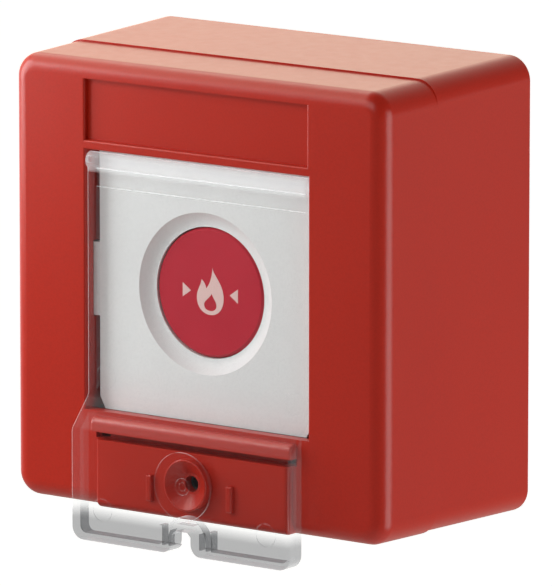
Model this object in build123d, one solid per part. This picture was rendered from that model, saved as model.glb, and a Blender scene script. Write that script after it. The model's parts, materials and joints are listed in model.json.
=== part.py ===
"""Manual call point: a red surface box with a clear hinged cover, a sprung push button, a key-reset
latch and a lever microswitch on a circuit board.

Units are millimetres.  The origin is the centre of the back face, which rests on the wall.
+Z is up, +X is to the right of a person facing the unit and +Y points into the wall.
Depths are measured inwards from the front face of the side rails.
"""
from build123d import *

import os
from math import atan2, cos, degrees, pi, radians, sin, tan

# ---- overall box ----
BOX_W = 88.0
BOX_H = 87.0
BOX_D = 46.0
DRAFT = 1.1            # each side is this much smaller at the front than at the wall
CORNER_R = 4.6
FRONT_EDGE_R = 3.2
WINDOW_EDGE_R = 0.35
PANEL_EDGE_R = 0.4
BLOCK_EDGE_R = 0.7
BAR_EDGE_R = 0.5
WALL = 2.2
SEAM = 16.5            # depth of the joint line between front housing and back box
SEAM_STEP = 0.15       # half of the small step across the joint line

# ---- front face layout ----
CHANNEL_X = 25.9       # half width of the window between the side rails
WINDOW_TOP = 25.5
WINDOW_BOTTOM = -24.2
PANEL_BOTTOM = 27.2
PANEL_TOP = 38.9
PANEL_DEPTH = 1.0
BAR_X = 23.3
BAR_TOP = -25.0
BAR_BOTTOM = -27.8
BAR_PROUD = 2.0
BLOCK_X = 22.3
BLOCK_TOP = -29.3
BLOCK_PROUD = 1.6
BLOCK_BOTTOM = -42.4
RIB_X = 9.3
RIB_SIZE = (1.3, 5.0)
RIB_PROUD = 2.5
RIB_Z = -37.0

# ---- key lock ----
LOCK_Z = -35.2
LOCK_BOSS_R = 4.95
FUNNEL_R = 4.6
FUNNEL_FLOOR = -1.3
LOCK_RIM = -3.5
LOCK_RIM_R = 0.25
KEY_HOLE_R = 1.55
JOURNAL_R = 3.2
SHAFT_R = 2.0
CAM_SEAT_R = 1.5
CAM_BASE_R = 1.8       # radius of the circle that the cam's involute unrolls from
CAM_REST_LIFT = 2.0
KEY_TURN = 90.0
RUN = 0.05             # radial running clearance

# ---- call plate and button ----
BUTTON_Z = 0.2
PLATE_X = 24.6
PLATE_TOP = 27.4
PLATE_BOTTOM = -24.3
PLATE_FACE = 3.0
PLATE_T = 1.4
TRAY_DEPTH = 8.0
TRAY_WALL = 1.2
TAB_TOP = 7.4
TAB_BOTTOM = -6.6
DISH_R = 15.4
CAP_R = 12.3
CAP_GAP = 0.2
CAP_FACE = 4.65
CAP_T = 1.6
CAP_LIP_R = 13.3
CAP_LIP = (6.8, 7.8)
STEM_R = 2.95
STEM_HEAD_R = 4.3
STEM_END = 20.0

# ---- inner carrier ----
CARRIER_FRONT = 8.0
CARRIER_T = 1.6
CARRIER_X = 35.5
CARRIER_Z = (-25.0, 31.0)
CUP_R = 14.0
CUP_WALL = 1.4
CUP_FLOOR = 13.4
CUP_BACK = 15.0
SPINE_X = 9.5
LATCH_X = 5.0
LATCH = (15.1, 16.3)
BOARD = (30.0, 31.6)
BOARD_X = 28.0
BOARD_Z = (-24.0, 34.0)
MOUNT_POSTS = [(x, z) for x in (-31.5, 31.5) for z in (-19.0, 26.0)]
BOARD_POSTS = [(x, z) for x in (-24.5, 24.5) for z in (-19.0, 29.5)]
PILOT_R = 1.25

# ---- microswitch ----
PIVOT_X = -12.5
PIVOT_DEPTH = 22.7
LEVER_W = 4.0
LEVER_SLOPE = 0.208
SWITCH = (-13.9, -1.8, 23.5)
SWITCH_W = 5.8
PLUNGER_X = -9.3
PLUNGER_R = 1.0
PLUNGER_TIP = 22.6

# ---- terminals ----
WAYS = 6
PITCH = 5.0
BLOCK_Z = (-18.0, -9.5)
BLOCK_BACK = 41.0

# ---- protective cover ----
COVER_X = 25.35
COVER_T = 1.2
COVER_FRONT = -5.2
COVER_CORNER_R = 2.6
COVER_BEND_R = 1.6
COVER_EDGE_R = 0.45
HINGE_Z = 23.45
HINGE_DEPTH = 1.15
BARREL_R = 1.6
TRUNNION_R = 0.7
BEND_TOP = -21.2
BEND_BOTTOM = -27.0
COVER_BOTTOM = -48.2
FLANGE_UPPER = 2.4
FLANGE_LOWER = -1.3
GATE_Z = -35.3
GATE_RECESS_R = 6.5
EJECTOR_MARKS = ((22.0, -17.9, COVER_T), (19.0, -42.2, COVER_FRONT + COVER_T))
NOTCH_X = 0.4
NOTCH_HALF = 2.2
NOTCH_TOP = -43.7
NOTCH_BACK = -1.95     # the notch walls stop short of the raised lower block

# ---- joint between housing and back box ----
TAB_X = 20.0
TAB_UNDER = -40.1
TAB_SCREW = SEAM + 7.0
SCREW_SEAT = -41.6

# ---- wall fixing and cable entry ----
SLOT_SPACING = 60.0
SLOT_R = 2.2
SLOT_LENGTH = 8.0
ENTRY_Z = 24.0
ENTRY_R = 10.0
CABLE_R = 3.0

os.makedirs("parts", exist_ok=True)


# ---- helpers ----
def y_at(depth):
    """Y of a depth behind the rail face."""
    return depth - BOX_D


def block(x0, x1, d0, d1, z0, z1):
    """A box between two X values, two depths and two heights."""
    middle = ((x0 + x1) / 2, y_at((d0 + d1) / 2), (z0 + z1) / 2)
    return Pos(*middle) * Box(abs(x1 - x0), abs(d1 - d0), abs(z1 - z0))


def rod(radius, d0, d1, x=0.0, z=0.0):
    """A cylinder along Y between two depths."""
    return Pos(x, y_at((d0 + d1) / 2), z) * Rot(90, 0, 0) * Cylinder(radius, abs(d1 - d0))


def rod_x(radius, x0, x1, depth, z):
    """A cylinder along X."""
    return Pos((x0 + x1) / 2, y_at(depth), z) * Rot(0, 90, 0) * Cylinder(radius, abs(x1 - x0))


def rod_z(radius, z0, z1, x, depth):
    """A cylinder along Z."""
    return Pos(x, y_at(depth), (z0 + z1) / 2) * Cylinder(radius, abs(z1 - z0))


def turned(points, x=0.0, z=0.0):
    """A solid of revolution about a Y axis, from (radius, depth) points."""
    outline = Polyline(*[(r, y_at(d), 0) for r, d in points], close=True)
    return Pos(x, 0, z) * revolve(make_face(outline), Axis.Y, 360)


def side_profile(points, x0, x1):
    """An outline of (depth, height) points, extruded along X."""
    outline = Polyline(*[(x0, y_at(d), z) for d, z in points], close=True)
    return extrude(make_face(outline), amount=x1 - x0, dir=(1, 0, 0))


def front_profile(points, d0, d1):
    """An outline of (x, height) points, extruded along depth."""
    outline = Polyline(*[(x, y_at(d0), z) for x, z in points], close=True)
    return extrude(make_face(outline), amount=d1 - d0, dir=(0, 1, 0))


def tapered(inset, d0, d1, shift):
    """The box outline, inset all round, between two depths, with its draft."""
    sections = []
    for d in (d0, d1):
        shrink = 2 * (inset + DRAFT * (BOX_D - d) / BOX_D)
        corner = max(CORNER_R - inset, 0.8)
        outline = RectangleRounded(BOX_W - shrink, BOX_H - shrink, corner)
        sections.append(Pos(0, y_at(d), shift) * Rot(90, 0, 0) * outline)
    return loft(sections, ruled=True)


def spring(mean_r, wire_r, length, turns, place):
    """A coil compression spring that starts at the local origin and rises along local Z."""
    path = Helix(pitch=length / turns, height=length, radius=mean_r)
    section = Plane(origin=path @ 0, z_dir=path % 0) * Circle(wire_r)
    return place * sweep(section, path=path, is_frenet=True)


def picked(body, axis, x=None, depth=None, z=None):
    """The straight edges along an axis whose middle lies at the given |x|, depth or height."""
    found = []
    for edge in body.edges().filter_by(axis):
        middle = edge.center()
        tests = [(x, abs(middle.X)), (depth, middle.Y + BOX_D), (z, middle.Z)]
        if all(want is None or abs(want - got) < 0.06 for want, got in tests):
            found.append(edge)
    return found


def screw(head_r, head_d, shank_r, shank_d):
    """A pan-head screw; each pair is (start, end) depth along Y, with a cross recess in its head."""
    body = rod(head_r, *head_d) + rod(shank_r, *shank_d)
    outer = max(head_d) if max(head_d) > max(shank_d) else min(head_d)
    inner = outer + (-0.7 if outer == max(head_d) else 0.7)
    for half in ((0.9, 0.2), (0.2, 0.9)):
        body -= block(-half[0], half[0], inner, outer, -half[1], half[1])
    return body


def save(shape, node):
    """Write one node."""
    export_step(shape, f"parts/{node}.step")


def placed(shape, spots):
    """Copies of a shape at (x, z) spots, kept as separate solids."""
    return Compound(children=[Pos(x, 0, z) * shape for x, z in spots])


# ---- housing ----
def front_housing():
    shift = -SEAM_STEP
    body = tapered(0, 0, SEAM, shift)
    body = fillet(body.faces().sort_by(Axis.Y)[0].edges(), FRONT_EDGE_R)
    body += block(-BLOCK_X, BLOCK_X, -BLOCK_PROUD, 2, BLOCK_BOTTOM, BLOCK_TOP)
    front_bottom = body.edges().filter_by(Axis.X).group_by(Axis.Y)[0].sort_by(Axis.Z)[0]
    body = fillet(front_bottom, 1.4)
    bar = block(-BAR_X, BAR_X, -BAR_PROUD, 2, BAR_BOTTOM, BAR_TOP)
    bar = fillet(bar.edges().filter_by(Axis.X).group_by(Axis.Y)[0].sort_by(Axis.Z)[-1], 1.5)
    body += bar
    body += lock_boss()
    body += side_ribs()
    body -= tapered(WALL, WALL, SEAM + 1, shift)
    body += spigot(shift) + window_frame() + lock_sleeve()
    for x, z in MOUNT_POSTS:
        body += rod(3.2, WALL - 0.5, CARRIER_FRONT, x, z)
        body -= rod(PILOT_R, 3.0, CARRIER_FRONT + 1, x, z)
    body -= block(-CHANNEL_X, CHANNEL_X, -1, WALL + 0.1, WINDOW_BOTTOM, WINDOW_TOP)
    body -= block(-CHANNEL_X, CHANNEL_X - 0.4, -1, PANEL_DEPTH, PANEL_BOTTOM, PANEL_TOP)
    body -= block(-BAR_X, BAR_X, -4, 0.9, BLOCK_TOP, BAR_BOTTOM)
    for x in (-21.6, 21.6):
        body -= block(x - 1, x + 1, 0, WALL + 1, BLOCK_TOP + 0.1, BAR_BOTTOM - 0.1)
    body -= turned([(0, LOCK_RIM - 1), (FUNNEL_R, LOCK_RIM - 1), (FUNNEL_R, LOCK_RIM),
                    (KEY_HOLE_R + 0.5, FUNNEL_FLOOR), (0, FUNNEL_FLOOR)], z=LOCK_Z)
    body -= rod(KEY_HOLE_R, -4, 1, z=LOCK_Z)
    body -= rod(JOURNAL_R + RUN, 0.7, CARRIER_FRONT + 1, z=LOCK_Z)
    body -= rod_x(TRUNNION_R + RUN, -27.9, 27.9, HINGE_DEPTH, HINGE_Z)
    return softened(body)


def softened(body):
    """The small radii on the front face's edges."""
    window = picked(body, Axis.Z, x=CHANNEL_X, depth=0, z=(WINDOW_TOP + WINDOW_BOTTOM) / 2)
    body = fillet(window + picked(body, Axis.X, depth=0, z=WINDOW_TOP), WINDOW_EDGE_R)
    panel = picked(body, Axis.Z, depth=0, z=(PANEL_TOP + PANEL_BOTTOM) / 2)
    body = fillet(panel + picked(body, Axis.X, depth=0, z=PANEL_BOTTOM), PANEL_EDGE_R)
    body = fillet(picked(body, Axis.Z, x=BLOCK_X, depth=-BLOCK_PROUD), BLOCK_EDGE_R)
    body = fillet(picked(body, Axis.Z, x=BAR_X, depth=-BAR_PROUD), BAR_EDGE_R)
    return body


def lock_boss():
    """The raised round boss that carries the key funnel."""
    boss = rod(LOCK_BOSS_R, LOCK_RIM, 1, z=LOCK_Z)
    return fillet(boss.edges().group_by(Axis.Y)[0], LOCK_RIM_R)


def lock_sleeve():
    """The bearing for the lock rotor, behind the front wall."""
    return rod(5.2, 0, CARRIER_FRONT, z=LOCK_Z)


def side_ribs():
    """Two short upright ribs beside the key funnel."""
    width, height = RIB_SIZE
    ribs = []
    for x in (-RIB_X, RIB_X):
        rib = block(x - width / 2, x + width / 2, -RIB_PROUD, 0, RIB_Z - height / 2, RIB_Z + height / 2)
        ribs.append(fillet(rib.edges().group_by(Axis.Y)[0], 0.35))
    return ribs[0] + ribs[1]


def spigot(shift):
    """The lip that enters the back box, with its top hooks and bottom screw tabs."""
    lip = tapered(1.55, SEAM - 2, SEAM + 2, shift) - tapered(2.5, SEAM - 3, SEAM + 3, shift)
    for x in (-TAB_X, TAB_X):
        lip += block(x - 4, x + 4, SEAM - 4, SEAM + 8, 38.4, 40.2)
        lip += block(x - 4, x + 4, SEAM + 6.4, SEAM + 8, 40.0, 41.3)
        tab = block(x - 4, x + 4, SEAM - 4, SEAM + 10.5, TAB_UNDER, TAB_UNDER + 3)
        lip += tab - rod_z(PILOT_R, -41, -37, x, TAB_SCREW)
    return lip


def window_frame():
    """The upright ribs behind the window reveals, with slots for the call plate's tabs."""
    frame = None
    for side in (-1, 1):
        rib = block(side * 25.9, side * 28.4, WALL - 0.5, 7.6, WINDOW_BOTTOM, PLATE_TOP)
        rib -= block(side * 25, side * 27.5, PLATE_FACE - 0.3, 5.2, TAB_BOTTOM - 0.3, TAB_TOP + 0.3)
        frame = rib if frame is None else frame + rib
    return frame


def back_box():
    shift = SEAM_STEP
    body = tapered(0, SEAM, BOX_D, shift)
    body = fillet(body.faces().sort_by(Axis.Y)[-1].edges(), 0.5)
    body -= tapered(WALL, SEAM - 1, BOX_D - WALL, shift)
    body -= tapered(1.2, SEAM - 1, SEAM + 3, shift)
    for x in (-TAB_X, TAB_X):
        body -= block(x - 4.4, x + 4.4, SEAM + 6, SEAM + 8.4, 40, 42.0)
        body -= rod_z(1.6, -45, -40, x, TAB_SCREW)
        body -= rod_z(2.9, -45, SCREW_SEAT, x, TAB_SCREW)
    for side in (-1, 1):
        slot = SlotOverall(SLOT_LENGTH, 2 * SLOT_R)
        centre = Pos(side * SLOT_SPACING / 2, -5, 0) * Rot(-90, 0, 0)
        body -= extrude(centre * slot, amount=10)
    body += turned([(ENTRY_R - 0.6, 42.2), (ENTRY_R + 1.2, 42.2), (ENTRY_R + 1.2, 45),
                    (ENTRY_R - 0.6, 45)], z=ENTRY_Z)
    body -= rod(ENTRY_R, 40, BOX_D + 1, z=ENTRY_Z)
    knock_out = rod_z(10, -44.5, -43.0 + SEAM_STEP, 0, 33) - rod_z(9.2, -45, -42, 0, 33)
    return body - knock_out


def housing_seal():
    """Square-section rubber ring between the spigot and the back box."""
    ring = tapered(1.5, SEAM + 2.05, SEAM + 2.95, SEAM_STEP)
    return ring - tapered(2.2, SEAM + 1, SEAM + 4, SEAM_STEP)


def housing_screws():
    """Two screws up through the bottom wall into the front housing's tabs."""
    spots = []
    head = SCREW_SEAT - 1.0
    for x in (-TAB_X, TAB_X):
        body = rod_z(2.6, head, SCREW_SEAT, x, TAB_SCREW) + rod_z(1.15, SCREW_SEAT, -37.5, x, TAB_SCREW)
        for size in ((2.6, 0.6, 1.2), (0.6, 2.6, 1.2)):
            body -= Pos(x, y_at(TAB_SCREW), head) * Box(*size)
        spots.append(body)
    return Compound(children=spots)


def cable_grommet():
    """Rubber grommet in the cable entry of the back wall."""
    groove = ENTRY_R - 0.02
    points = [(CABLE_R, 43.0), (groove - 2, 41.2), (ENTRY_R + 1.0, 41.2), (ENTRY_R + 1.0, 42.1),
              (groove, 42.1), (groove, 45.9), (groove - 1.6, 45.9), (groove - 1.6, 44.4), (CABLE_R, 45.0)]
    return turned(points, z=ENTRY_Z)


# ---- call plate and button ----
def call_plate():
    """White tray with side tabs and a concave ring round the button."""
    cut_x, cut_z = 1.2, 2.3
    outline = [(-PLATE_X, PLATE_TOP), (PLATE_X, PLATE_TOP), (PLATE_X, PLATE_BOTTOM + cut_z),
               (PLATE_X - cut_x, PLATE_BOTTOM), (cut_x - PLATE_X, PLATE_BOTTOM),
               (-PLATE_X, PLATE_BOTTOM + cut_z)]
    body = front_profile(outline, PLATE_FACE, TRAY_DEPTH)
    inner_x = PLATE_X - TRAY_WALL
    hollow = block(-inner_x, inner_x, PLATE_FACE + PLATE_T, TRAY_DEPTH + 1,
                   PLATE_BOTTOM + 2 * TRAY_WALL, PLATE_TOP - TRAY_WALL)
    body -= hollow - rod(DISH_R + PLATE_T, 0, CAP_LIP[0] - 0.3, z=BUTTON_Z)
    for side in (-1, 1):
        body += block(side * (PLATE_X - 1), side * 27.1, PLATE_FACE, 4.8, TAB_BOTTOM, TAB_TOP)
    body -= dish()
    return body - rod(CAP_R + CAP_GAP, 0, 10, z=BUTTON_Z)


def dish():
    """The concave cutter of the ring: steep at its crisp outer edge and level where it meets the cap."""
    edge_r = CAP_R + CAP_GAP
    steps = 10
    points = [(0, PLATE_FACE - 1), (DISH_R, PLATE_FACE - 1), (DISH_R, PLATE_FACE)]
    for k in range(1, steps + 1):
        inward = k / steps
        radius = DISH_R - (DISH_R - edge_r) * inward
        drop = (CAP_FACE - PLATE_FACE) * (1 - (1 - inward) ** 2)
        points.append((radius, PLATE_FACE + drop))
    points.append((0, CAP_FACE))
    return turned(points, z=BUTTON_Z)


def push_button():
    """Red cap: slightly dished face, skirt, retaining lip and a socket for the stem."""
    under = CAP_FACE + CAP_T
    points = [(0, CAP_FACE), (CAP_R - 0.5, CAP_FACE), (CAP_R, CAP_FACE + 0.5), (CAP_R, CAP_LIP[0]),
              (CAP_LIP_R, CAP_LIP[0]), (CAP_LIP_R, CAP_LIP[1]), (CAP_R - 1.2, CAP_LIP[1]),
              (CAP_R - 1.2, under), (STEM_HEAD_R + 1.3, under), (STEM_HEAD_R + 1.3, 8.0),
              (STEM_HEAD_R, 8.0), (STEM_HEAD_R, under), (0, under)]
    return turned(points, z=BUTTON_Z)


def button_stem():
    """Stem with the head that sits in the cap, the latch groove and a domed nose for the lever."""
    head = CAP_FACE + CAP_T
    groove = (12.35, 14.05)
    nose = [(0.9 * cos(a), STEM_END - 1.0 + 0.95 * sin(a)) for a in (0.0, 0.4, 0.8, 1.2, pi / 2)]
    nose[-1] = (0, nose[-1][1])
    points = [(0, head), (STEM_HEAD_R, head), (STEM_HEAD_R, 7.65), (STEM_R, 7.65), (STEM_R, groove[0]),
              (2.0, groove[0]), (2.0, groove[1]), (STEM_R, groove[1]), (STEM_R, STEM_END - 2.0),
              (STEM_R - 0.6, STEM_END - 1.4), (0.9, STEM_END - 1.4)]
    return turned(points + nose, z=BUTTON_Z)


def guide_bush():
    """Flanged bush that guides the stem in the cup floor."""
    points = [(STEM_R + RUN, 10.4), (4.2, 10.4), (4.2, 12.4), (5.0, 12.4), (5.0, CUP_FLOOR),
              (4.2, CUP_FLOOR), (4.2, CUP_BACK), (STEM_R + RUN, CUP_BACK)]
    return turned(points, z=BUTTON_Z)


def return_spring():
    """Coil spring between the cup floor and the cap."""
    wire = 0.4
    length = CUP_FLOOR - (CAP_FACE + CAP_T) - 2 * wire - 0.1
    place = Pos(0, y_at(CUP_FLOOR - wire - 0.05), BUTTON_Z) * Rot(90, 0, 0)
    return spring(6.6, wire, length, 4.5, place)


# ---- carrier ----
def inner_carrier():
    """Moulded chassis: plate, button cup, lock bearing, latch spine and board posts."""
    back = CARRIER_FRONT + CARRIER_T
    body = block(-CARRIER_X, CARRIER_X, CARRIER_FRONT, back, *CARRIER_Z)
    body += block(-SPINE_X, SPINE_X, CARRIER_FRONT, back, -39.8, CARRIER_Z[0] + 1)
    body = fillet(body.edges().filter_by(Axis.Y), 1.2)
    body += block(-SPINE_X, SPINE_X, CARRIER_FRONT + 0.2, CUP_BACK, -31.0, -12.0)
    body += rod(CUP_R + CUP_WALL, CARRIER_FRONT + 0.2, CUP_BACK, z=BUTTON_Z)
    body -= rod(CUP_R, CARRIER_FRONT - 1, CUP_FLOOR, z=BUTTON_Z)
    body -= rod(4.2, 10, 20, z=BUTTON_Z)
    body += rod(4.4, CARRIER_FRONT + 0.2, LATCH[0] - 0.2, z=LOCK_Z)
    body -= rod(SHAFT_R + RUN, 0, 20, z=LOCK_Z)
    for side in (-1, 1):
        body += block(side * (LATCH_X + 0.15), side * SPINE_X, CUP_BACK - 0.2, LATCH[1] + 0.1, -31.0, -15.0)
        for z in (-17.5, -28.5):
            body -= rod(0.8, 10.5, 20, side * 7.3, z)
    body += block(-3, 3, CUP_BACK - 0.2, 17.2, 13.9, 15.2)
    for x, z in BOARD_POSTS:
        body += rod(2.6, CARRIER_FRONT + 0.2, BOARD[0], x, z)
        body -= rod(PILOT_R, BOARD[0] - 8, BOARD[0] + 1, x, z)
    for x, z in MOUNT_POSTS:
        body -= rod(1.6, 0, 20, x, z)
    return body


def latch_slider():
    """Flat slider with a window round the stem and a foot above the lock cam."""
    travel = CAM_BASE_R * radians(KEY_TURN)
    foot = LOCK_Z + CAM_REST_LIFT + RUN
    top = BUTTON_Z + STEM_R + 0.15
    bottom = BUTTON_Z - STEM_R - 0.3 - travel
    body = block(-LATCH_X, LATCH_X, *LATCH, foot, 8.2)
    body = fillet(body.edges().filter_by(Axis.Y).group_by(Axis.Z)[-1], 1.0)
    return body - block(-3.4, 3.4, LATCH[0] - 1, LATCH[1] + 1, bottom, top)


def latch_spring():
    """Small spring that pushes the latch down onto the stem."""
    wire = 0.15
    place = Pos(0, y_at(LATCH[0] + 0.9), 8.2 + wire + 0.05)
    return spring(0.72, wire, 13.9 - 8.2 - 2 * wire - 0.1, 8, place)


def latch_guide():
    """Plate that holds the latch in its track."""
    body = block(-SPINE_X, SPINE_X, LATCH[1] + 0.1, LATCH[1] + 1.1, -31.0, -15.2)
    body = fillet(body.edges().filter_by(Axis.Y), 1.0)
    for x in (-7.3, 7.3):
        for z in (-17.5, -28.5):
            body -= rod(1.0, 10, 20, x, z)
    return body


def lock_rotor():
    """Stepped lock shaft with a hexagonal key socket in its front face."""
    points = [(0, 0.8), (JOURNAL_R - 0.2, 0.8), (JOURNAL_R, 1.0), (JOURNAL_R, CARRIER_FRONT - 0.1),
              (SHAFT_R, CARRIER_FRONT - 0.1), (SHAFT_R, LATCH[0]), (CAM_SEAT_R, LATCH[0]),
              (CAM_SEAT_R, LATCH[1]), (0, LATCH[1])]
    body = turned(points, z=LOCK_Z)
    socket = Pos(0, y_at(3.8), LOCK_Z) * Rot(90, 0, 0) * RegularPolygon(1.35, 6)
    body -= extrude(socket, amount=4)
    return body - rod(0.85, 10.5, 20, z=LOCK_Z)


def lock_cam():
    """Involute lobe: its flat follower rises by the base radius for each radian of turn."""
    first, last = -14.0, KEY_TURN + 6.0
    steps = 26
    lobe = []
    for k in range(steps + 1):
        turn = radians(first + (last - first) * k / steps)
        lift = CAM_REST_LIFT + CAM_BASE_R * turn
        normal = pi / 2 + turn
        lobe.append((lift * cos(normal) - CAM_BASE_R * sin(normal),
                     lift * sin(normal) + CAM_BASE_R * cos(normal)))
    hub = 1.95
    start = radians(degrees(atan2(lobe[0][1], lobe[0][0])) - 8)
    closing = [(hub * cos(start - a), hub * sin(start - a)) for a in (0.0, 0.6, 1.2, 1.8, 2.4, 3.0)]
    outline = [(x, LOCK_Z + z) for x, z in lobe + closing[::-1]]
    body = front_profile(outline, *LATCH)
    body += rod(hub, *LATCH, z=LOCK_Z)
    return body - rod(CAM_SEAT_R, LATCH[0] - 1, LATCH[1] + 1, z=LOCK_Z)


# ---- microswitch ----
def lever_line(x):
    """Depth of the lever's front surface at rest."""
    return PIVOT_DEPTH - (x - PIVOT_X) * LEVER_SLOPE


def switch_body():
    x0, x1, face = SWITCH
    low, high = BUTTON_Z - SWITCH_W / 2, BUTTON_Z + SWITCH_W / 2
    body = block(x0, x1, face, BOARD[0], low, high)
    body = fillet(body.edges().filter_by(Axis.Y), 0.4)
    for z in (low + 0.35, high - 0.35):
        body += block(x0, PIVOT_X + 1.4, PIVOT_DEPTH - 0.9, face + 0.5, z - 0.35, z + 0.35)
    body -= block(x0 - 1, PIVOT_X + 2.0, PIVOT_DEPTH, face + 0.6, BUTTON_Z - 2.2, BUTTON_Z + 2.2)
    body -= rod_z(0.5, low - 1, high + 1, PIVOT_X, PIVOT_DEPTH)
    return body - rod(PLUNGER_R + RUN, 20, face + 4.3, PLUNGER_X, BUTTON_Z)


def switch_lever():
    """Spring-steel lever with a rolled eye and a rounded tip."""
    tip = 2.2
    low, high = BUTTON_Z - LEVER_W / 2, BUTTON_Z + LEVER_W / 2
    points = [(PIVOT_X, lever_line(PIVOT_X)), (tip, lever_line(tip)), (tip + 0.9, lever_line(tip) + 1.1),
              (tip + 0.5, lever_line(tip) + 1.35), (tip - 0.25, lever_line(tip) + 0.46),
              (PIVOT_X, lever_line(PIVOT_X) + 0.45)]
    outline = Polyline(*[(x, y_at(d), low) for x, d in points], close=True)
    body = extrude(make_face(outline), amount=high - low, dir=(0, 0, 1))
    body += rod_z(0.95, low, high, PIVOT_X, PIVOT_DEPTH)
    return body - rod_z(0.5 + RUN, low - 1, high + 1, PIVOT_X, PIVOT_DEPTH)


def switch_plunger():
    body = rod(PLUNGER_R, PLUNGER_TIP, 26.4, PLUNGER_X, BUTTON_Z)
    return fillet(body.edges().sort_by(Axis.Y)[0], 0.5)


def switch_pins():
    spots = [(x, BUTTON_Z) for x in (-12.6, -7.8, -3.0)]
    return placed(rod(0.45, BOARD[0], BOARD[1] + 1.4), spots)


# ---- circuit board ----
def resistor_spots():
    return [(12.0, z) for z in (12.0, 17.0, 22.0)]


def clamp_spots():
    return [((k - (WAYS - 1) / 2) * PITCH, BLOCK_Z[0] + 4.0) for k in range(WAYS)]


def circuit_board():
    body = block(-BOARD_X, BOARD_X, *BOARD, *BOARD_Z)
    body = fillet(body.edges().filter_by(Axis.Y), 1.5)
    for x, z in BOARD_POSTS:
        body -= rod(1.6, 29, 33, x, z)
    for x in (-12.6, -7.8, -3.0):
        body -= rod(0.6, 29, 33, x, BUTTON_Z)
    for x, z in resistor_spots():
        for lead in (-5.0, 5.0):
            body -= rod(0.5, 29, 33, x + lead, z)
    return body


def loop_resistors():
    """Three axial resistors with bent leads."""
    parts = []
    level = BOARD[0] - 1.7
    for x, z in resistor_spots():
        body = rod_x(0.95, x - 3.2, x + 3.2, level, z)
        for end in (-1, 1):
            body += rod_x(1.2, x + end * 1.9, x + end * 3.2, level, z)
        body = fillet(body.edges().group_by(Axis.X)[0] + body.edges().group_by(Axis.X)[-1], 0.4)
        body += rod_x(0.3, x - 5.3, x + 5.3, level, z)
        for lead in (-5.0, 5.0):
            body += rod(0.3, level, BOARD[1] + 1.0, x + lead, z)
        parts.append(body)
    return Compound(children=parts)


def terminal_block():
    half = WAYS * PITCH / 2
    body = block(-half, half, BOARD[1], BLOCK_BACK, *BLOCK_Z)
    body = fillet(body.edges().filter_by(Axis.X).group_by(Axis.Y)[-1], 0.6)
    for x, z in clamp_spots():
        body -= block(x - 1.95, x + 1.95, 32.6, 37.2, BLOCK_Z[0] - 1, BLOCK_Z[1] - 2.0)
        body -= rod(1.7, 37, 42, x, z)
    return body


def terminal_screws():
    body = rod(1.6, 37.9, 40.2) + rod(1.1, 36.4, 37.9)
    body -= block(-2, 2, 39.5, 40.3, -0.25, 0.25)
    return placed(body, clamp_spots())


def wire_clamps():
    """Rising cage of each terminal."""
    body = block(-1.8, 1.8, 32.8, 36.3, -2.0, 2.0) - block(-1.2, 1.2, 33.6, 35.6, -3.0, 3.0)
    return placed(body, clamp_spots())


# ---- protective cover ----
def protective_cover():
    """Clear moulding: flat upper plate, forward bend, deep lower skirt with a seal notch."""
    bend = COVER_T * tan(atan2(-COVER_FRONT, BEND_TOP - BEND_BOTTOM) / 2)
    outer = [(0, HINGE_Z), (0, BEND_TOP), (COVER_FRONT, BEND_BOTTOM), (COVER_FRONT, COVER_BOTTOM),
             (FLANGE_LOWER, COVER_BOTTOM), (FLANGE_LOWER, -23.2), (FLANGE_UPPER, -19.5),
             (FLANGE_UPPER, 21.2), (HINGE_DEPTH, HINGE_Z)]
    floor = COVER_FRONT + COVER_T
    inner = [(COVER_T, HINGE_Z + 1), (COVER_T, BEND_TOP - bend), (floor, BEND_BOTTOM - bend),
             (floor, COVER_BOTTOM + COVER_T), (9, COVER_BOTTOM + COVER_T), (9, HINGE_Z + 1)]
    shell = side_profile(outer, -COVER_X, COVER_X)
    bottom_edges = shell.edges().filter_by(Axis.Y).group_by(Axis.Z)[0]
    shell = fillet(bottom_edges, COVER_CORNER_R)
    bends = picked(shell, Axis.X, z=BEND_TOP) + picked(shell, Axis.X, z=BEND_BOTTOM)
    shell = fillet(bends, COVER_BEND_R)
    shell = fillet(front_outline(shell), COVER_EDGE_R)
    cavity = side_profile(inner, COVER_T - COVER_X, COVER_X - COVER_T)
    shell -= fillet(cavity.edges().filter_by(Axis.Y).group_by(Axis.Z)[0], COVER_CORNER_R - COVER_T)
    inner_bends = picked(shell, Axis.X, z=BEND_TOP - bend) + picked(shell, Axis.X, z=BEND_BOTTOM - bend)
    shell = fillet(inner_bends, COVER_BEND_R / 2)
    shell += block(-24.2, 24.2, 1.0, 1.7, 18.4, 21.8)
    shell += rod_x(BARREL_R, -COVER_X, COVER_X, HINGE_DEPTH, HINGE_Z)
    shell += rod_x(TRUNNION_R, -27.7, 27.7, HINGE_DEPTH, HINGE_Z)
    shell -= rod(GATE_RECESS_R, floor - 0.4, 0, z=GATE_Z)
    shell += rod(1.6, floor - 0.4, floor - 0.1, z=GATE_Z) - rod(0.8, floor - 0.3, floor, z=GATE_Z)
    for x, z, back in EJECTOR_MARKS:
        for side in (-x, x):
            shell += rod(2.3, back - 0.1, back + 0.12, side, z) - rod(2.1, back - 0.2, back + 1, side, z)
    return seal_notch(shell, floor)


def front_outline(shell):
    """The edges down both sides and along the bottom of the cover's front faces."""
    found = []
    for edge in shell.edges():
        middle = edge.center()
        on_side = abs(abs(middle.X) - COVER_X) < 0.8 and middle.Z < HINGE_Z - 1
        on_bottom = abs(middle.Z - COVER_BOTTOM) < 0.1
        slope = (BEND_TOP - middle.Z) / (BEND_TOP - BEND_BOTTOM) * COVER_FRONT
        front = min(0, max(COVER_FRONT, slope))
        if (on_side or on_bottom) and abs(middle.Y + BOX_D - front) < 0.35:
            found.append(edge)
    return found


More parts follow.
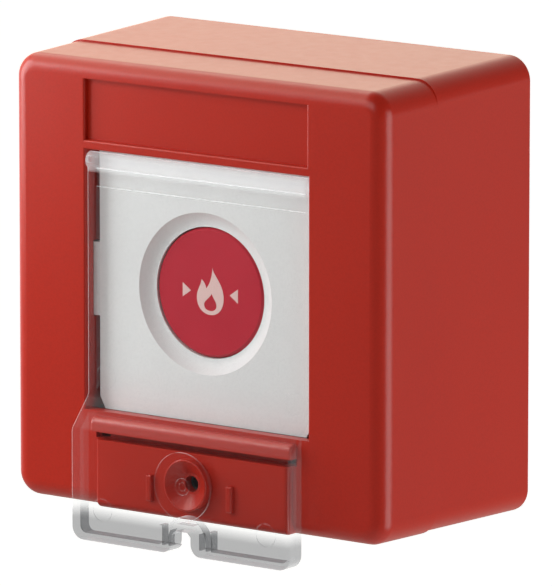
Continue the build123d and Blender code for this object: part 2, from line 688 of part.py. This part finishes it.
def seal_notch(shell, floor):
    """The walled slot and arch in the cover's lower edge."""
    root = floor - 0.5
    shell += block(NOTCH_X - 3.3, NOTCH_X + 3.3, root, NOTCH_BACK, COVER_BOTTOM, NOTCH_TOP + 1.1)
    arch = rod(4.9, root, NOTCH_BACK, NOTCH_X, -46.0) - rod(3.9, -9, 0, NOTCH_X, -46.0)
    shell += arch - block(-9, 9, -9, 0, -60, -47.2)
    for side in (-1, 1):
        edge = NOTCH_X + side * 6.1
        shell += block(edge, edge - side * 0.8, root, NOTCH_BACK, COVER_BOTTOM + 0.2, -43.3)
    shoulder = 0.8
    half = [(NOTCH_HALF, COVER_BOTTOM - 1), (NOTCH_HALF, NOTCH_TOP - shoulder)]
    half.append((NOTCH_HALF - shoulder, NOTCH_TOP))
    slot = [(NOTCH_X + x, z) for x, z in half] + [(NOTCH_X - x, z) for x, z in half[::-1]]
    shell -= front_profile(slot, -9, 1)
    mouth_r = 2.5
    for side in (-1, 1):
        edge = NOTCH_X + side * NOTCH_HALF
        square = block(edge, edge + side * mouth_r, -9, 1, COVER_BOTTOM - 1, COVER_BOTTOM + mouth_r)
        shell -= square - rod(mouth_r, -10, 2, edge + side * mouth_r, COVER_BOTTOM + mouth_r)
    return shell


# ---- write every node ----
carrier_screw = screw(2.6, (9.6, 11.3), 1.2, (3.4, 9.6))
board_screw = screw(2.5, (BOARD[1], BOARD[1] + 1.6), 1.2, (BOARD[0] - 6, BOARD[1]))
guide_screw = screw(1.6, (LATCH[1] + 1.1, LATCH[1] + 2.1), 0.75, (11, LATCH[1] + 1.1))
cam_screw = screw(2.2, (LATCH[1], LATCH[1] + 1.2), 0.8, (11, LATCH[1]))
lever_pin = rod_z(0.5, BUTTON_Z - 2.9, BUTTON_Z + 2.9, PIVOT_X, PIVOT_DEPTH)

NODES = {
    "front_housing": front_housing(),
    "back_box": back_box(),
    "housing_seal": housing_seal(),
    "housing_screws": housing_screws(),
    "cable_grommet": cable_grommet(),
    "call_plate": call_plate(),
    "push_button": push_button(),
    "button_stem": button_stem(),
    "guide_bush": guide_bush(),
    "return_spring": return_spring(),
    "inner_carrier": inner_carrier(),
    "carrier_screws": placed(carrier_screw, MOUNT_POSTS),
    "latch_slider": latch_slider(),
    "latch_spring": latch_spring(),
    "latch_guide": latch_guide(),
    "latch_guide_screws": placed(guide_screw, [(x, z) for x in (-7.3, 7.3) for z in (-17.5, -28.5)]),
    "lock_rotor": lock_rotor(),
    "lock_cam": lock_cam(),
    "cam_screw": Pos(0, 0, LOCK_Z) * cam_screw,
    "switch_body": switch_body(),
    "switch_lever": switch_lever(),
    "lever_pin": lever_pin,
    "switch_plunger": switch_plunger(),
    "switch_pins": switch_pins(),
    "circuit_board": circuit_board(),
    "board_screws": placed(board_screw, BOARD_POSTS),
    "loop_resistors": loop_resistors(),
    "terminal_block": terminal_block(),
    "terminal_screws": terminal_screws(),
    "wire_clamps": wire_clamps(),
    "protective_cover": protective_cover(),
}

for name, shape in NODES.items():
    save(shape, name)
    print(name, len(shape.solids()), round(shape.volume, 1), shape.is_valid)
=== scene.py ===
import json
import math

import bmesh
import bpy
from mathutils import Matrix, Vector


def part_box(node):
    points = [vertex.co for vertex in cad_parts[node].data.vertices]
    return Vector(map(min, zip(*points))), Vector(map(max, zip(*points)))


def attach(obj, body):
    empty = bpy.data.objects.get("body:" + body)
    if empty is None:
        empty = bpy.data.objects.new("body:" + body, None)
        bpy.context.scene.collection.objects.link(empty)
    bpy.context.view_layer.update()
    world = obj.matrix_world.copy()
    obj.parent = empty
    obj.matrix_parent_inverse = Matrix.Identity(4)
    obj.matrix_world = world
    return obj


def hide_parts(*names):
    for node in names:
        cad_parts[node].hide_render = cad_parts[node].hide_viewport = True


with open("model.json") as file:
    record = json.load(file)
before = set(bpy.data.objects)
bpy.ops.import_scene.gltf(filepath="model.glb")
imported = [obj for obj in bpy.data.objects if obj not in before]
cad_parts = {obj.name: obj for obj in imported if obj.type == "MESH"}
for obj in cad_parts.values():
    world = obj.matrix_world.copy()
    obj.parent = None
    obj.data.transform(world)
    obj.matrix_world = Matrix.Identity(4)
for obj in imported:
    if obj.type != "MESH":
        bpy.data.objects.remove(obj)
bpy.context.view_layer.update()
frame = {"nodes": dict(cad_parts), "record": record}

MM = 0.001
scene = bpy.context.scene

# ---- driving values: metres, watts and linear colours ----

AZIMUTH = math.radians(36.185)
ELEVATION = math.radians(10.599)
CAMERA_DISTANCE = 1.7051
SENSOR_WIDTH = 36
LENS = 556.8
SHIFT = (0.0223, -0.0210)
CLIP = (0.05, 40)
BOX_HALF_DEPTH = 0.02472

FLOOR_Z = -0.45
FLOOR_HALF = 9
FLOOR_CELLS = 8
FLOOR_TONES = ((0.83, 0.83, 0.83), (0.85, 0.85, 0.85))
FLOOR_GLOW = (0.08, 0.80)            # by the object, and well behind it
FLOOR_GLOW_BAND = (0.9, 1.6)         # distances behind the object

BACKDROP = (-0.59, 0.81, 0)          # the way the camera looks, level
ROOM_DARK = (0.10, 0.10, 0.102)
ROOM_LIGHT = (1.0, 0.93, 0.80)
ROOM_RAMP = (0.70, 0.97)
ROOM_STRENGTH = 1.3

# name, place, width, height, watts, colour
SOFTBOXES = [
    ("left_key", (-0.22, -0.14, 0.08), 0.15, 0.20, 0.62, (1, 1, 1)),
    ("front_key", (-0.14, -0.60, 0.40), 0.5, 0.4, 1.25, (1, 1, 1)),
    ("right_fill", (0.50, 0.06, -0.06), 0.35, 0.5, 1.62, (1, 1, 1)),
    ("top_box", (-0.52, -0.06, 0.62), 1.2, 0.26, 2.6, (1.0, 0.90, 0.78)),
    ("back_box", (-0.70, 0.95, 0.26), 0.9, 0.6, 1.1, (1.0, 0.80, 0.50)),
]

# the two tones between which each finish varies
RED = ((0.465, 0.0150, 0.0040), (0.490, 0.0180, 0.0052))
CRIMSON = ((0.520, 0.0120, 0.0320), (0.560, 0.0160, 0.0380))
INK = ((0.72, 0.32, 0.32), (0.86, 0.60, 0.57))
PLATE_WHITE = ((0.865, 0.870, 0.870), (0.900, 0.905, 0.903))
# the clear cover's milky white: partly haze, partly a painted glint on faces turned from sight
HAZE_AND_GLINT = ((0.80, 0.81, 0.81), (0.92, 0.93, 0.93))
BLACK = ((0.018, 0.018, 0.020), (0.050, 0.050, 0.053))
ACETAL = ((0.050, 0.056, 0.057), (0.085, 0.092, 0.093))
RUBBER = ((0.018, 0.018, 0.019), (0.055, 0.054, 0.052))
ZINC = ((0.50, 0.51, 0.53), (0.70, 0.71, 0.72))
BRASS = ((0.60, 0.53, 0.36), (0.78, 0.72, 0.52))
SOLDER_MASK = ((0.012, 0.095, 0.040), (0.030, 0.205, 0.085))
RESISTOR = ((0.56, 0.43, 0.25), (0.16, 0.07, 0.03))

# the clear cover: the tint of what passes through, darker in the skirt's lower band, and how milky its
# turned faces are; their milky white and faint glow are partly haze, partly a painted glint
CLEAR_TINT = (0.985, 0.99, 0.99)
# the see-through is darker in the skirt's lower band
SKIRT_DARKER_SEE_THROUGH = (0.66, 0.665, 0.67)
SKIRT_BAND = (0.0415, 0.0440)        # distances below the middle
HINGE_BAND = (0.0212, 0.0216)        # distances above the middle
# painted sheen: the top of the cover round the hinge barrel is made milkier and so brighter, standing in for
# its reflection of the light above
HINGE_PAINTED_SHEEN = 0.16
# painted glint: the milky faces glow a little, though the cover is no lamp
PAINTED_EDGE_GLINT = (0.92, 0.96, 1.0)
PAINTED_EDGE_GLINT_STRENGTH = 0.42
# how much milky white each face shows as it turns from sight: partly haze, partly a painted glint
TURNED_HAZE_AND_GLINT = [(0.22, 0.003), (0.50, 0.06), (0.80, 0.40), (0.97, 0.92)]

SPRING_CLEARANCE = 1.15 * MM
INK_HALF = 0.012 * MM
INK_BEVEL = 0.008 * MM
INK_LIFT = 0.018 * MM
INK_WELD = 1e-7
CURVE_STEPS = 14


def grey(level):
    return (level, level, level)


# ---- camera and lights ----

away = Vector((math.sin(AZIMUTH) * math.cos(ELEVATION), -math.cos(AZIMUTH) * math.cos(ELEVATION),
               math.sin(ELEVATION)))
aim = Vector((0, -BOX_HALF_DEPTH, 0))
camera = bpy.data.objects.new("camera", bpy.data.cameras.new("camera"))
scene.collection.objects.link(camera)
camera.location = aim + away * CAMERA_DISTANCE
camera.rotation_mode = "QUATERNION"
camera.rotation_quaternion = (-away).to_track_quat("-Z", "Y")
camera.data.sensor_width = SENSOR_WIDTH
camera.data.lens = LENS
camera.data.shift_x, camera.data.shift_y = SHIFT
camera.data.clip_start, camera.data.clip_end = CLIP
scene.camera = camera
scene.view_settings.view_transform = "Standard"


def softbox(name, place, width, height, power, colour):
    """A rectangular studio light that faces the object."""
    light = bpy.data.lights.new(name, "AREA")
    light.shape = "RECTANGLE"
    light.size, light.size_y = width, height
    light.energy = power
    light.color = colour
    lamp = bpy.data.objects.new(name, light)
    lamp.location = place
    lamp.rotation_mode = "QUATERNION"
    lamp.rotation_quaternion = (aim - Vector(place)).to_track_quat("-Z", "Y")
    scene.collection.objects.link(lamp)


for settings in SOFTBOXES:
    softbox(*settings)


# ---- node helpers ----

class Look:
    """A material's node tree, built up in object coordinates (metres)."""

    def __init__(self, name, roughness=0.45, specular=0.5):
        self.material = bpy.data.materials.new(name)
        self.material.use_nodes = True
        self.tree = self.material.node_tree
        self.shader = self.tree.nodes["Principled BSDF"]
        self.shader.inputs["Roughness"].default_value = roughness
        self.shader.inputs["Specular IOR Level"].default_value = specular
        self.place = self.tree.nodes.new("ShaderNodeTexCoord").outputs["Object"]

    def link(self, source, target):
        self.tree.links.new(source, target)

    def noise(self, scale, detail, stretch=None, distortion=0.0):
        """Noise with features of about 1/scale metres, optionally stretched along an axis."""
        node = self.tree.nodes.new("ShaderNodeTexNoise")
        node.inputs["Scale"].default_value = scale
        node.inputs["Detail"].default_value = detail
        node.inputs["Distortion"].default_value = distortion
        self.link(self.stretched(stretch) if stretch else self.place, node.inputs["Vector"])
        return node.outputs["Fac"]

    def stretched(self, factors):
        node = self.tree.nodes.new("ShaderNodeMapping")
        node.inputs["Scale"].default_value = factors
        self.link(self.place, node.inputs["Vector"])
        return node.outputs["Vector"]

    def ramp(self, source, stops):
        """A colour ramp: stops are (position, colour), in rising order."""
        node = self.tree.nodes.new("ShaderNodeValToRGB")
        for k, (position, colour) in enumerate(stops):
            stop = node.color_ramp.elements[k] if k < 2 else node.color_ramp.elements.new(position)
            stop.position = position
            stop.color = tuple(colour) + (1,)
        self.link(source, node.inputs["Fac"])
        return node.outputs["Color"]

    def tones(self, source, pair, low=0.3, high=0.7):
        """From the first colour of a pair, at low, to the second, at high."""
        return self.ramp(source, [(low, pair[0]), (high, pair[1])])

    def speckled(self, tone, scale, darkest, low=0.3, high=0.7):
        """A tone with fine darker specks."""
        specks = self.tones(self.noise(scale, detail=1), (grey(darkest), grey(1)), low, high)
        return self.mixed(1.0, tone, specks, "MULTIPLY")

    def spread(self, source, low, high, from_low=0.3, from_high=0.7):
        """A value carried to new limits; most noise lies between 0.3 and 0.7."""
        node = self.tree.nodes.new("ShaderNodeMapRange")
        limits = (("From Min", from_low), ("From Max", from_high), ("To Min", low), ("To Max", high))
        for key, value in limits:
            node.inputs[key].default_value = value
        self.link(source, node.inputs["Value"])
        return node.outputs["Result"]

    def mixed(self, factor, first, second, blend="MIX"):
        """Two colours mixed; the factor and each colour are a socket or a plain value."""
        node = self.tree.nodes.new("ShaderNodeMix")
        node.data_type = "RGBA"
        node.blend_type = blend
        amount, under, over = (node.inputs[k] for k in (0, 6, 7))
        for socket, value in ((under, first), (over, second)):
            if hasattr(value, "is_linked"):
                self.link(value, socket)
            else:
                socket.default_value = tuple(value) + (1,)
        if hasattr(factor, "is_linked"):
            self.link(factor, amount)
        else:
            amount.default_value = factor
        return node.outputs[2]

    def along(self, direction, low, high):
        """0 to 1 between two distances along a direction, in metres."""
        node = self.tree.nodes.new("ShaderNodeVectorMath")
        node.operation = "DOT_PRODUCT"
        self.link(self.place, node.inputs[0])
        node.inputs[1].default_value = direction
        return self.spread(node.outputs["Value"], 0, 1, low, high)

    def bump(self, source, depth, strength):
        """Adds a bump of a depth in metres over any that is there already."""
        node = self.tree.nodes.new("ShaderNodeBump")
        node.inputs["Distance"].default_value = depth
        node.inputs["Strength"].default_value = strength
        self.link(source, node.inputs["Height"])
        before = self.shader.inputs["Normal"]
        if before.is_linked:
            self.link(before.links[0].from_socket, node.inputs["Normal"])
        self.link(node.outputs["Normal"], before)

    def colour(self, source):
        self.link(source, self.shader.inputs["Base Color"])

    def roughness(self, source, low, high):
        self.link(self.spread(source, low, high), self.shader.inputs["Roughness"])


# ---- materials by slot ----

def red_moulding():
    """Signal red moulding with a fine spark-eroded grain and faint flow marks."""
    look = Look("red_moulding", specular=0.42)
    flow = look.noise(22, detail=3, stretch=(1, 1, 0.45), distortion=0.6)
    look.colour(look.speckled(look.tones(flow, RED), 2600, 0.93, low=0.30, high=0.62))
    look.roughness(look.noise(420, detail=3), 0.285, 0.315)
    look.bump(look.noise(3600, detail=2), 0.012 * MM, 0.30)
    return look.material


def clear_polycarbonate():
    """Clear thin-walled moulding: what turns away from sight goes milky white and glows faintly, partly haze
    and partly a painted glint; the hinge barrel gets extra painted sheen, and the see-through is darker in
    the skirt's lower band.
    """
    look = Look("clear_polycarbonate")
    skirt = look.along((0, 0, -1), *SKIRT_BAND)
    hinge = look.along((0, 0, 1), *HINGE_BAND)
    scuffs = look.noise(900, detail=4, stretch=(1, 1, 0.3), distortion=0.5)
    # the milky white, partly haze and partly a painted glint where faces turn away
    look.colour(look.tones(scuffs, HAZE_AND_GLINT))
    look.roughness(scuffs, 0.06, 0.14)
    look.bump(look.noise(60, detail=2, stretch=(1, 1, 0.4)), 0.03 * MM, 0.25)
    # painted glint: a faint glow on the milky shader brightens edges and the hinge barrel
    look.shader.inputs["Emission Color"].default_value = PAINTED_EDGE_GLINT + (1,)
    look.shader.inputs["Emission Strength"].default_value = PAINTED_EDGE_GLINT_STRENGTH
    clear = look.tree.nodes.new("ShaderNodeBsdfTransparent")
    # what is seen through goes darker below the skirt band
    look.link(look.mixed(skirt, CLEAR_TINT, SKIRT_DARKER_SEE_THROUGH), clear.inputs["Color"])
    facing = look.tree.nodes.new("ShaderNodeLayerWeight")
    facing.inputs["Blend"].default_value = 0.5
    # faces turned from sight take the milky white: partly haze, partly a painted glint
    turned = look.ramp(facing.outputs["Facing"], [(turn, grey(haze)) for turn, haze in TURNED_HAZE_AND_GLINT])
    mix = look.tree.nodes.new("ShaderNodeMixShader")
    amount, see_through, milky = mix.inputs
    # the hinge band adds a painted sheen to the milky weight
    look.link(look.mixed(hinge, turned, grey(HINGE_PAINTED_SHEEN), "ADD"), amount)
    look.link(clear.outputs["BSDF"], see_through)
    look.link(look.shader.outputs["BSDF"], milky)
    look.link(mix.outputs["Shader"], look.tree.nodes["Material Output"].inputs["Surface"])
    return look.material


def white_moulding():
    """Satin white plate, very slightly clouded, with a fine grain."""
    look = Look("white_moulding", specular=0.4)
    clouds = look.noise(55, detail=3)
    look.colour(look.speckled(look.tones(clouds, PLATE_WHITE), 2400, 0.95, low=0.28, high=0.6))
    look.roughness(look.noise(500, detail=2), 0.42, 0.55)
    look.bump(look.noise(3000, detail=2), 0.01 * MM, 0.5)
    return look.material


def button_red():
    """Smooth crimson cap, a little uneven in tone and gloss."""
    look = Look("button_red", specular=0.4)
    look.colour(look.tones(look.noise(90, detail=3), CRIMSON))
    look.roughness(look.noise(700, detail=3), 0.30, 0.42)
    look.bump(look.noise(2800, detail=2), 0.008 * MM, 0.5)
    look.bump(look.noise(130, detail=2), 0.02 * MM, 0.3)
    return look.material


def printed_ink():
    """Pale pad-printed ink: it lies a little unevenly, with pinholes of the cap's colour."""
    look = Look("printed_ink", specular=0.4)
    pinholes = look.noise(5200, detail=2)
    look.colour(look.tones(pinholes, INK, low=0.27, high=0.36))
    look.roughness(look.noise(1500, detail=2), 0.40, 0.55)
    look.bump(pinholes, 0.006 * MM, 0.5)
    return look.material


def dark_moulding(name, pair, rough):
    """Glass-filled engineering plastic: speckled, with a matt grain."""
    look = Look(name, specular=0.4)
    fibres = look.noise(1800, detail=3, stretch=(1, 1, 0.3), distortion=1.0)
    look.colour(look.tones(fibres, pair, low=0.35, high=0.68))
    look.roughness(look.noise(600, detail=3), rough - 0.06, rough + 0.08)
    look.bump(fibres, 0.01 * MM, 0.5)
    look.bump(look.noise(120, detail=2), 0.02 * MM, 0.3)
    return look.material


def rubber_black():
    """Matt rubber with a dusty bloom."""
    look = Look("rubber_black", specular=0.3)
    bloom = look.noise(300, detail=4, distortion=0.4)
    look.colour(look.tones(bloom, RUBBER, low=0.38, high=0.75))
    look.roughness(bloom, 0.62, 0.85)
    look.bump(look.noise(2500, detail=3), 0.02 * MM, 0.6)
    return look.material


def metal(name, pair, rough):
    """Plated metal: cloudy tone, fine drawing lines and uneven polish."""
    look = Look(name)
    look.colour(look.tones(look.noise(220, detail=4), pair, low=0.32, high=0.68))
    look.shader.inputs["Metallic"].default_value = 1.0
    lines = look.noise(1500, detail=2, stretch=(1, 1, 0.08))
    look.roughness(lines, rough - 0.07, rough + 0.1)
    look.bump(lines, 0.006 * MM, 0.5)
    return look.material


def board_laminate():
    """Green solder mask over copper runs, with a woven glass ground."""
    look = Look("board_laminate")
    runs = look.tree.nodes.new("ShaderNodeTexBrick")
    runs.offset = 0.37
    runs.squash = 1.6
    layout = (("Scale", 150.0), ("Mortar Size", 0.055), ("Brick Width", 0.9), ("Row Height", 0.28))
    for key, value in layout:
        runs.inputs[key].default_value = value
    upright = look.tree.nodes.new("ShaderNodeMapping")
    upright.inputs["Rotation"].default_value = (math.radians(90), 0, 0)
    look.link(look.place, upright.inputs["Vector"])
    look.link(upright.outputs["Vector"], runs.inputs["Vector"])
    mask = look.tones(runs.outputs["Fac"], SOLDER_MASK, low=0.2, high=0.8)
    look.colour(look.speckled(mask, 2200, 0.85))
    look.roughness(look.noise(500, detail=2), 0.26, 0.38)
    look.bump(runs.outputs["Fac"], 0.03 * MM, 0.8)
    return look.material


def resistor_body():
    """Lacquered beige bodies with darker bands round them."""
    look = Look("resistor_body")
    bands = look.tree.nodes.new("ShaderNodeTexWave")
    bands.bands_direction = "X"
    bands.inputs["Scale"].default_value = 190
    bands.inputs["Distortion"].default_value = 0.2
    look.link(look.place, bands.inputs["Vector"])
    look.colour(look.tones(bands.outputs["Fac"], RESISTOR, low=0.80, high=0.86))
    look.roughness(look.noise(900, detail=2), 0.25, 0.4)
    look.bump(look.noise(600, detail=2), 0.03 * MM, 0.5)
    return look.material


looks = {
    "red_moulding": red_moulding(),
    "clear_polycarbonate": clear_polycarbonate(),
    "white_moulding": white_moulding(),
    "button_red": button_red(),
    "black_moulding": dark_moulding("black_moulding", BLACK, 0.5),
    "grey_acetal": dark_moulding("grey_acetal", ACETAL, 0.4),
    "rubber_black": rubber_black(),
    "steel_zinc": metal("steel_zinc", ZINC, 0.28),
    "tinned_brass": metal("tinned_brass", BRASS, 0.32),
    "board_laminate": board_laminate(),
    "resistor_body": resistor_body(),
}

for part in frame["record"]["subparts"]:
    node = frame["nodes"][part["node"]]
    node.data.materials.clear()
    node.data.materials.append(looks[part["material_slot"]])


# ---- the return spring, drawn a little shorter than it is free ----

def shortened_spring(name, node_name, clearance):
    """The coil pressed back from its front end, so that it stays inside the cap when that is pushed in."""
    low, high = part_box(node_name)
    squeeze = 1 - clearance / (high[1] - low[1])
    mesh = frame["nodes"][node_name].data.copy()
    mesh.name = name
    mesh.transform(frame["nodes"][node_name].matrix_world)
    mesh.transform(Matrix.Translation((0, high[1], 0)) @ Matrix.Diagonal((1, squeeze, 1, 1))
                   @ Matrix.Translation((0, -high[1], 0)))
    piece = bpy.data.objects.new(name, mesh)
    scene.collection.objects.link(piece)
    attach(piece, "housing")
    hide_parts(node_name)


shortened_spring("return_coil", "return_spring", SPRING_CLEARANCE)


# ---- the printed pictogram on the cap ----

def bezier_loop(curve, start, pieces):
    """A closed outline in millimetres: each piece is (handle, handle, end)."""
    spline = curve.splines.new("BEZIER")
    spline.bezier_points.add(len(pieces) - 1)
    spline.use_cyclic_u = True
    spline.resolution_u = CURVE_STEPS
    ends = [start] + [piece[2] for piece in pieces[:-1]]
    for k, end in enumerate(ends):
        point = spline.bezier_points[k]
        point.handle_left_type = point.handle_right_type = "FREE"
        point.co = (end[0] * MM, end[1] * MM, 0)
        into = pieces[k - 1][1]
        out = pieces[k][0]
        point.handle_left = (into[0] * MM, into[1] * MM, 0)
        point.handle_right = (out[0] * MM, out[1] * MM, 0)


def polygon_loop(curve, corners):
    """A closed straight-sided outline in millimetres."""
    spline = curve.splines.new("POLY")
    spline.points.add(len(corners) - 1)
    spline.use_cyclic_u = True
    for point, (x, z) in zip(spline.points, corners):
        point.co = (x * MM, z * MM, 0, 1)


def printed(name, loops, centre, front):
    """Ink a few hundredths of a millimetre thick on a face that looks along -Y."""
    curve = bpy.data.curves.new(name, "CURVE")
    curve.dimensions = "2D"
    curve.fill_mode = "BOTH"
    curve.extrude = INK_HALF
    curve.bevel_depth = INK_BEVEL
    for loop in loops:
        if isinstance(loop, tuple):
            bezier_loop(curve, *loop)
        else:
            polygon_loop(curve, loop)
    flat = bpy.data.objects.new(name, curve)
    scene.collection.objects.link(flat)
    bpy.context.view_layer.update()
    mesh = bpy.data.meshes.new_from_object(flat.evaluated_get(bpy.context.evaluated_depsgraph_get()))
    bpy.data.objects.remove(flat)
    shaped = bmesh.new()
    shaped.from_mesh(mesh)
    for vert in shaped.verts:
        x, z, out = vert.co
        vert.co = (centre[0] + x, front - INK_LIFT - out, centre[1] + z)
    bmesh.ops.remove_doubles(shaped, verts=shaped.verts, dist=INK_WELD)
    bmesh.ops.recalc_face_normals(shaped, faces=shaped.faces)
    shaped.to_mesh(mesh)
    shaped.free()
    mesh.name = name
    mesh.materials.clear()
    mesh.materials.append(ink)
    piece = bpy.data.objects.new(name, mesh)
    scene.collection.objects.link(piece)
    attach(piece, "button")


# outlines in millimetres from the middle of the cap, x to the right and z up
FLAME = ((0.5, 4.7), [
    ((0.8, 3.3), (3.0, 2.0), (3.1, -0.7)),
    ((3.15, -2.9), (1.8, -4.2), (0.0, -4.2)),
    ((-1.8, -4.2), (-3.15, -2.9), (-3.1, -1.0)),
    ((-3.05, 0.4), (-2.2, 1.1), (-2.0, 2.4)),
    ((-1.4, 1.9), (-1.05, 1.4), (-0.95, 0.7)),
    ((-0.1, 1.7), (0.4, 3.0), (0.5, 4.7)),
])
FLAME_HEART = ((0.35, -0.1), [
    ((0.55, -1.0), (1.45, -1.5), (1.45, -2.3)),
    ((1.45, -3.1), (0.8, -3.45), (0.0, -3.45)),
    ((-0.8, -3.45), (-1.45, -3.1), (-1.45, -2.3)),
    ((-1.45, -1.6), (-0.3, -1.2), (0.35, -0.1)),
])
LEFT_ARROW = [(-6.4, 1.35), (-6.4, -1.35), (-4.5, 0)]
RIGHT_ARROW = [(6.4, -1.35), (6.4, 1.35), (4.5, 0)]

ink = printed_ink()
cap_low, cap_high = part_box("push_button")
cap_centre = ((cap_low[0] + cap_high[0]) / 2, (cap_low[2] + cap_high[2]) / 2)
printed("flame_mark", [FLAME, FLAME_HEART], cap_centre, cap_low[1])
printed("left_mark", [LEFT_ARROW], cap_centre, cap_low[1])
printed("right_mark", [RIGHT_ARROW], cap_centre, cap_low[1])


# ---- floor and surroundings ----

def floor():
    """A pale floor, far below the object because that hangs on a wall; it glows only well behind it."""
    mesh = bpy.data.meshes.new("floor")
    shaped = bmesh.new()
    bmesh.ops.create_grid(shaped, x_segments=FLOOR_CELLS, y_segments=FLOOR_CELLS, size=FLOOR_HALF)
    bmesh.ops.translate(shaped, verts=shaped.verts, vec=(0, 0, FLOOR_Z))
    shaped.to_mesh(mesh)
    shaped.free()
    look = Look("floor", roughness=0.9, specular=0.1)
    look.colour(look.tones(look.noise(2, detail=2), FLOOR_TONES))
    by_object, behind = FLOOR_GLOW
    glow = look.tones(look.along(BACKDROP, *FLOOR_GLOW_BAND), (grey(by_object), grey(behind)), low=0, high=1)
    look.link(glow, look.shader.inputs["Emission Color"])
    look.shader.inputs["Emission Strength"].default_value = 1.0
    mesh.materials.append(look.material)
    sheet = bpy.data.objects.new("floor", mesh)
    scene.collection.objects.link(sheet)


def surroundings():
    """A pale room, bright behind the object and dim in front of it."""
    world = bpy.data.worlds.new("studio")
    world.use_nodes = True
    scene.world = world
    tree = world.node_tree
    sky = tree.nodes["Background"]
    place = tree.nodes.new("ShaderNodeTexCoord")
    toward = tree.nodes.new("ShaderNodeVectorMath")
    toward.operation = "DOT_PRODUCT"
    toward.inputs[1].default_value = BACKDROP
    spread = tree.nodes.new("ShaderNodeMapRange")
    spread.inputs["From Min"].default_value = -1
    spread.inputs["From Max"].default_value = 1
    ramp = tree.nodes.new("ShaderNodeValToRGB")
    for stop, position, colour in zip(ramp.color_ramp.elements, ROOM_RAMP, (ROOM_DARK, ROOM_LIGHT)):
        stop.position = position
        stop.color = colour + (1,)
    tree.links.new(place.outputs["Generated"], toward.inputs[0])
    tree.links.new(toward.outputs["Value"], spread.inputs["Value"])
    tree.links.new(spread.outputs["Result"], ramp.inputs["Fac"])
    tree.links.new(ramp.outputs["Color"], sky.inputs["Color"])
    sky.inputs["Strength"].default_value = ROOM_STRENGTH


floor()
surroundings()
